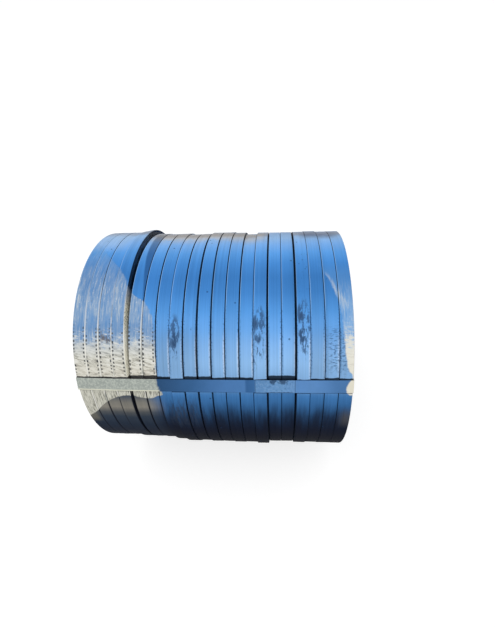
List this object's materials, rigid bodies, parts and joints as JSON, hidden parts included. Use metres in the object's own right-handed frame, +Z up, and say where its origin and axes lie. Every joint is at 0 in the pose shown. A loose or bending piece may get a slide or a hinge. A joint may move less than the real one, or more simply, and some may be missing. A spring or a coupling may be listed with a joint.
{
  "type": "coil of galvanized steel strip",
  "caption": "Strapped pack of narrow galvanized steel strip coils lying on its side, edge to edge on one axis, with an open bore and flat tie straps through it.",
  "frame": {"origin": "on the bore axis, half way between the pack's ends at the front strap", "axes": "+X along the bore axis, +Z up as the pack lies on its side, -Y is the side with the strap that the picture shows"},
  "size_m": [0.8183, 0.7875, 0.803],
  "materials": {
    "zinc_strip": "hot-dip zinc, satin, streaked and smudged",
    "tie_strap": "dull zinc, weathered"
  },
  "bodies": {
    "root": {"strip_coil_01": "zinc_strip", "strip_coil_02": "zinc_strip", "strip_coil_03": "zinc_strip", "strip_coil_04": "zinc_strip", "strip_coil_05": "zinc_strip", "strip_coil_06": "zinc_strip", "strip_coil_07": "zinc_strip", "strip_coil_08": "zinc_strip", "strip_coil_09": "zinc_strip", "strip_coil_10": "zinc_strip", "strip_coil_11": "zinc_strip", "strip_coil_12": "zinc_strip", "strip_coil_13": "zinc_strip", "strip_coil_14": "zinc_strip", "strip_coil_15": "zinc_strip", "strip_coil_16": "zinc_strip", "strip_coil_17": "zinc_strip", "strip_coil_18": "zinc_strip", "strip_coil_19": "zinc_strip", "strip_coil_20": "zinc_strip", "tie_strap_front": "tie_strap", "tie_strap_back": "tie_strap", "tie_strap_bottom": "tie_strap"}
  },
  "joints": []
}
